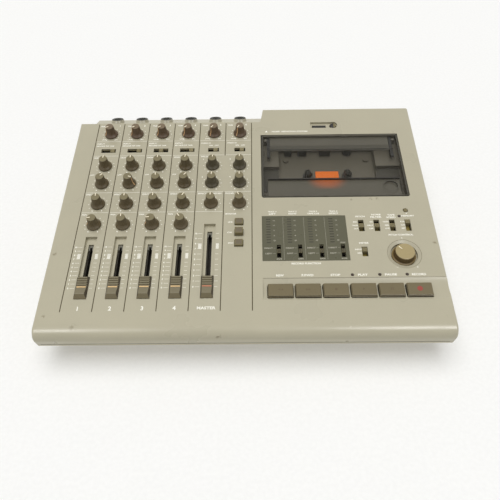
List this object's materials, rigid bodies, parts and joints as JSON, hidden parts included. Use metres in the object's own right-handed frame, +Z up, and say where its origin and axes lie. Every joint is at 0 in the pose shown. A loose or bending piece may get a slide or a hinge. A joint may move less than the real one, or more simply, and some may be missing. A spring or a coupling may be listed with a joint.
{
  "type": "four track cassette recorder",
  "caption": "Wedge-shaped tabletop recorder: channel strips with rotary knobs and slide faders on the left, a cassette deck with a hinged smoked lid, meter and flat keys on the right.",
  "frame": {"origin": "on the table, under the middle of the machine's outline", "axes": "+X to the player's right, +Y to the back, +Z up; the control panel slopes up to the back by 8 degrees"},
  "size_m": [0.372, 0.281, 0.0945],
  "materials": {
    "case": "light beige grey, fine grain",
    "case_low": "beige grey, fine grain",
    "knob": "dark olive grey, ribbed",
    "fader": "grey brown",
    "key": "grey brown, satin",
    "switch": "light grey",
    "smoke": "smoked clear plastic",
    "meter": "dark grey, printed",
    "deck": "black grey",
    "wheel": "black with white digits",
    "spindle": "black",
    "steel": "bright steel",
    "head": "steel and ferrite",
    "brass": "turned",
    "rubber": "black",
    "board": "laminate with lamps",
    "jack": "black",
    "motor": "zinc plated can, rubber belt"
  },
  "bodies": {
    "base": {"top_case": "case", "bottom_case": "case_low", "rubber_feet": "rubber", "case_screws": "steel", "circuit_boards": "board", "control_bodies": "jack", "meter_window": "meter", "sockets": "jack", "cassette_tray": "deck", "drive_motor": "motor"},
    "trim_knob_1": {"trim_knob_1": "knob"},
    "trim_knob_2": {"trim_knob_2": "knob"},
    "trim_knob_3": {"trim_knob_3": "knob"},
    "trim_knob_4": {"trim_knob_4": "knob"},
    "trim_knob_5": {"trim_knob_5": "knob"},
    "trim_knob_6": {"trim_knob_6": "knob"},
    "high_knob_1": {"high_knob_1": "knob"},
    "low_knob_1": {"low_knob_1": "knob"},
    "effect_knob_1": {"effect_knob_1": "knob"},
    "pan_knob_1": {"pan_knob_1": "knob"},
    "high_knob_2": {"high_knob_2": "knob"},
    "low_knob_2": {"low_knob_2": "knob"},
    "effect_knob_2": {"effect_knob_2": "knob"},
    "pan_knob_2": {"pan_knob_2": "knob"},
    "high_knob_3": {"high_knob_3": "knob"},
    "low_knob_3": {"low_knob_3": "knob"},
    "effect_knob_3": {"effect_knob_3": "knob"},
    "pan_knob_3": {"pan_knob_3": "knob"},
    "high_knob_4": {"high_knob_4": "knob"},
    "low_knob_4": {"low_knob_4": "knob"},
    "effect_knob_4": {"effect_knob_4": "knob"},
    "pan_knob_4": {"pan_knob_4": "knob"},
    "cue_knob_1": {"cue_knob_1": "knob"},
    "cue_knob_2": {"cue_knob_2": "knob"},
    "cue_knob_3": {"cue_knob_3": "knob"},
    "cue_knob_4": {"cue_knob_4": "knob"},
    "return_knob": {"return_knob": "knob"},
    "phones_knob": {"phones_knob": "knob"},
    "pitch_knob": {"pitch_knob": "knob"},
    "fader_1": {"fader_1": "fader"},
    "fader_2": {"fader_2": "fader"},
    "fader_3": {"fader_3": "fader"},
    "fader_4": {"fader_4": "fader"},
    "fader_master": {"fader_master": "fader"},
    "input_switch_sliders": {"input_switch_sliders": "switch"},
    "deck_switch_sliders": {"deck_switch_sliders": "switch"},
    "push_buttons": {"push_buttons": "key"},
    "rewind_key": {"rewind_key": "key"},
    "forward_key": {"forward_key": "key"},
    "stop_key": {"stop_key": "key"},
    "play_key": {"play_key": "key"},
    "pause_key": {"pause_key": "key"},
    "record_key": {"record_key": "key"},
    "cassette_lid": {"cassette_lid": "smoke"},
    "supply_spindle": {"supply_spindle": "spindle"},
    "takeup_spindle": {"takeup_spindle": "spindle"},
    "counter_wheels": {"counter_wheels": "wheel"},
    "capstan_flywheel": {"capstan_flywheel": "brass"},
    "head_bridge": {"head_bridge": "head"},
    "pinch_roller": {"pinch_roller": "rubber"}
  },
  "joints": [
    {"name": "trim_knob_1_turn", "type": "hinge", "parent": "base", "child": "trim_knob_1", "pos_m": [-0.1486, 0.10219, 0.08126], "axis": [0, -0.1392, 0.9903], "range_deg": [-268, 32]},
    {"name": "trim_knob_2_turn", "type": "hinge", "parent": "base", "child": "trim_knob_2", "pos_m": [-0.12, 0.10219, 0.08126], "axis": [0, -0.1392, 0.9903], "range_deg": [-268, 32]},
    {"name": "trim_knob_3_turn", "type": "hinge", "parent": "base", "child": "trim_knob_3", "pos_m": [-0.0914, 0.10219, 0.08126], "axis": [0, -0.1392, 0.9903], "range_deg": [-275, 25]},
    {"name": "trim_knob_4_turn", "type": "hinge", "parent": "base", "child": "trim_knob_4", "pos_m": [-0.0628, 0.10219, 0.08126], "axis": [0, -0.1392, 0.9903], "range_deg": [-280, 20]},
    {"name": "trim_knob_5_turn", "type": "hinge", "parent": "base", "child": "trim_knob_5", "pos_m": [-0.0342, 0.10219, 0.08126], "axis": [0, -0.1392, 0.9903], "range_deg": [-290, 10]},
    {"name": "trim_knob_6_turn", "type": "hinge", "parent": "base", "child": "trim_knob_6", "pos_m": [-0.0056, 0.10219, 0.08126], "axis": [0, -0.1392, 0.9903], "range_deg": [-295, 5]},
    {"name": "high_knob_1_turn", "type": "hinge", "parent": "base", "child": "high_knob_1", "pos_m": [-0.1486, 0.05466, 0.07458], "axis": [0, -0.1392, 0.9903], "range_deg": [-150, 150]},
    {"name": "low_knob_1_turn", "type": "hinge", "parent": "base", "child": "low_knob_1", "pos_m": [-0.1486, 0.0304, 0.07117], "axis": [0, -0.1392, 0.9903], "range_deg": [-110, 190]},
    {"name": "effect_knob_1_turn", "type": "hinge", "parent": "base", "child": "effect_knob_1", "pos_m": [-0.1486, 0.00346, 0.06739], "axis": [0, -0.1392, 0.9903], "range_deg": [-150, 150]},
    {"name": "pan_knob_1_turn", "type": "hinge", "parent": "base", "child": "pan_knob_1", "pos_m": [-0.1486, -0.02228, 0.06377], "axis": [0, -0.1392, 0.9903], "range_deg": [-245, 55]},
    {"name": "high_knob_2_turn", "type": "hinge", "parent": "base", "child": "high_knob_2", "pos_m": [-0.12, 0.05466, 0.07458], "axis": [0, -0.1392, 0.9903], "range_deg": [-150, 150]},
    {"name": "low_knob_2_turn", "type": "hinge", "parent": "base", "child": "low_knob_2", "pos_m": [-0.12, 0.0304, 0.07117], "axis": [0, -0.1392, 0.9903], "range_deg": [-35, 265]},
    {"name": "effect_knob_2_turn", "type": "hinge", "parent": "base", "child": "effect_knob_2", "pos_m": [-0.12, 0.00346, 0.06739], "axis": [0, -0.1392, 0.9903], "range_deg": [-150, 150]},
    {"name": "pan_knob_2_turn", "type": "hinge", "parent": "base", "child": "pan_knob_2", "pos_m": [-0.12, -0.02228, 0.06377], "axis": [0, -0.1392, 0.9903], "range_deg": [-150, 150]},
    {"name": "high_knob_3_turn", "type": "hinge", "parent": "base", "child": "high_knob_3", "pos_m": [-0.0914, 0.05466, 0.07458], "axis": [0, -0.1392, 0.9903], "range_deg": [-150, 150]},
    {"name": "low_knob_3_turn", "type": "hinge", "parent": "base", "child": "low_knob_3", "pos_m": [-0.0914, 0.0304, 0.07117], "axis": [0, -0.1392, 0.9903], "range_deg": [-150, 150]},
    {"name": "effect_knob_3_turn", "type": "hinge", "parent": "base", "child": "effect_knob_3", "pos_m": [-0.0914, 0.00346, 0.06739], "axis": [0, -0.1392, 0.9903], "range_deg": [-150, 150]},
    {"name": "pan_knob_3_turn", "type": "hinge", "parent": "base", "child": "pan_knob_3", "pos_m": [-0.0914, -0.02228, 0.06377], "axis": [0, -0.1392, 0.9903], "range_deg": [-245, 55]},
    {"name": "high_knob_4_turn", "type": "hinge", "parent": "base", "child": "high_knob_4", "pos_m": [-0.0628, 0.05466, 0.07458], "axis": [0, -0.1392, 0.9903], "range_deg": [-142, 158]},
    {"name": "low_knob_4_turn", "type": "hinge", "parent": "base", "child": "low_knob_4", "pos_m": [-0.0628, 0.0304, 0.07117], "axis": [0, -0.1392, 0.9903], "range_deg": [-110, 190]},
    {"name": "effect_knob_4_turn", "type": "hinge", "parent": "base", "child": "effect_knob_4", "pos_m": [-0.0628, 0.00346, 0.06739], "axis": [0, -0.1392, 0.9903], "range_deg": [-120, 180]},
    {"name": "pan_knob_4_turn", "type": "hinge", "parent": "base", "child": "pan_knob_4", "pos_m": [-0.0628, -0.02228, 0.06377], "axis": [0, -0.1392, 0.9903], "range_deg": [-185, 115]},
    {"name": "cue_knob_1_turn", "type": "hinge", "parent": "base", "child": "cue_knob_1", "pos_m": [-0.0342, 0.05466, 0.07458], "axis": [0, -0.1392, 0.9903], "range_deg": [-135, 165]},
    {"name": "cue_knob_2_turn", "type": "hinge", "parent": "base", "child": "cue_knob_2", "pos_m": [-0.0056, 0.05466, 0.07458], "axis": [0, -0.1392, 0.9903], "range_deg": [-150, 150]},
    {"name": "cue_knob_3_turn", "type": "hinge", "parent": "base", "child": "cue_knob_3", "pos_m": [-0.0342, 0.0304, 0.07117], "axis": [0, -0.1392, 0.9903], "range_deg": [-145, 155]},
    {"name": "cue_knob_4_turn", "type": "hinge", "parent": "base", "child": "cue_knob_4", "pos_m": [-0.0056, 0.0304, 0.07117], "axis": [0, -0.1392, 0.9903], "range_deg": [-150, 150]},
    {"name": "return_knob_turn", "type": "hinge", "parent": "base", "child": "return_knob", "pos_m": [-0.0342, 0.00346, 0.06739], "axis": [0, -0.1392, 0.9903], "range_deg": [-150, 150]},
    {"name": "phones_knob_turn", "type": "hinge", "parent": "base", "child": "phones_knob", "pos_m": [-0.0056, 0.00346, 0.06739], "axis": [0, -0.1392, 0.9903], "range_deg": [-170, 130]},
    {"name": "pitch_knob_turn", "type": "hinge", "parent": "base", "child": "pitch_knob", "pos_m": [0.1509, -0.05922, 0.05858], "axis": [0, -0.1392, 0.9903], "range_deg": [-195, 105]},
    {"name": "fader_1_slide", "type": "slide", "parent": "base", "child": "fader_1", "axis": [0, 0.9903, 0.1392], "range_m": [0, 0.0456]},
    {"name": "fader_2_slide", "type": "slide", "parent": "base", "child": "fader_2", "axis": [0, 0.9903, 0.1392], "range_m": [0, 0.0456]},
    {"name": "fader_3_slide", "type": "slide", "parent": "base", "child": "fader_3", "axis": [0, 0.9903, 0.1392], "range_m": [0, 0.0456]},
    {"name": "fader_4_slide", "type": "slide", "parent": "base", "child": "fader_4", "axis": [0, 0.9903, 0.1392], "range_m": [0, 0.0456]},
    {"name": "fader_master_slide", "type": "slide", "parent": "base", "child": "fader_master", "axis": [0, 0.9903, 0.1392], "range_m": [0, 0.06]},
    {"name": "input_switches_slide", "type": "slide", "parent": "base", "child": "input_switch_sliders", "axis": [1, 0, 0], "range_m": [-0.0044, 0]},
    {"name": "deck_switches_slide", "type": "slide", "parent": "base", "child": "deck_switch_sliders", "axis": [0, 0.9903, 0.1392], "range_m": [-0.0044, 0]},
    {"name": "buttons_push", "type": "slide", "parent": "base", "child": "push_buttons", "axis": [0, 0.1392, -0.9903], "range_m": [0, 0.0015], "stiffness_N_per_m": 300, "springref_m": -0.002},
    {"name": "rewind_key_push", "type": "slide", "parent": "base", "child": "rewind_key", "axis": [0, 0.1392, -0.9903], "range_m": [0, 0.0012], "stiffness_N_per_m": 300, "springref_m": -0.002},
    {"name": "forward_key_push", "type": "slide", "parent": "base", "child": "forward_key", "axis": [0, 0.1392, -0.9903], "range_m": [0, 0.0012], "stiffness_N_per_m": 300, "springref_m": -0.002},
    {"name": "stop_key_push", "type": "slide", "parent": "base", "child": "stop_key", "axis": [0, 0.1392, -0.9903], "range_m": [0, 0.0012], "stiffness_N_per_m": 300, "springref_m": -0.002},
    {"name": "play_key_push", "type": "slide", "parent": "base", "child": "play_key", "axis": [0, 0.1392, -0.9903], "range_m": [0, 0.0012], "stiffness_N_per_m": 300, "springref_m": -0.002},
    {"name": "pause_key_push", "type": "slide", "parent": "base", "child": "pause_key", "axis": [0, 0.1392, -0.9903], "range_m": [0, 0.0012], "stiffness_N_per_m": 300, "springref_m": -0.002},
    {"name": "record_key_push", "type": "slide", "parent": "base", "child": "record_key", "axis": [0, 0.1392, -0.9903], "range_m": [0, 0.0012], "stiffness_N_per_m": 300, "springref_m": -0.002},
    {"name": "lid_hinge", "type": "hinge", "parent": "base", "child": "cassette_lid", "pos_m": [0.09255, 0.09536, 0.07526], "axis": [-1, 0, 0], "range_deg": [0, 75]},
    {"name": "supply_spindle_spin", "type": "hinge", "parent": "base", "child": "supply_spindle", "pos_m": [0.06775, 0.05544, 0.06258], "axis": [0, -0.1392, 0.9903], "continuous": true},
    {"name": "takeup_spindle_spin", "type": "hinge", "parent": "base", "child": "takeup_spindle", "pos_m": [0.11025, 0.05544, 0.06258], "axis": [0, -0.1392, 0.9903], "continuous": true},
    {"name": "counter_spin", "type": "hinge", "parent": "base", "child": "counter_wheels", "pos_m": [0.0733, 0.1125, 0.07292], "axis": [1, 0, 0], "continuous": true},
    {"name": "capstan_spin", "type": "hinge", "parent": "base", "child": "capstan_flywheel", "pos_m": [0.1143, 0.02989, 0.05899], "axis": [0, -0.1392, 0.9903], "continuous": true},
    {"name": "heads_engage", "type": "slide", "parent": "base", "child": "head_bridge", "axis": [0, 0.9903, 0.1392], "range_m": [0, 0.008], "stiffness_N_per_m": 60, "springref_m": -0.01},
    {"name": "roller_spin", "type": "hinge", "parent": "head_bridge", "child": "pinch_roller", "pos_m": [0.1143, 0.01593, 0.05702], "axis": [0, -0.1392, 0.9903], "continuous": true}
  ],
  "couplings": [
    {"joint": "counter_spin", "follows": "takeup_spindle_spin", "ratio": -0.1}
  ]
}
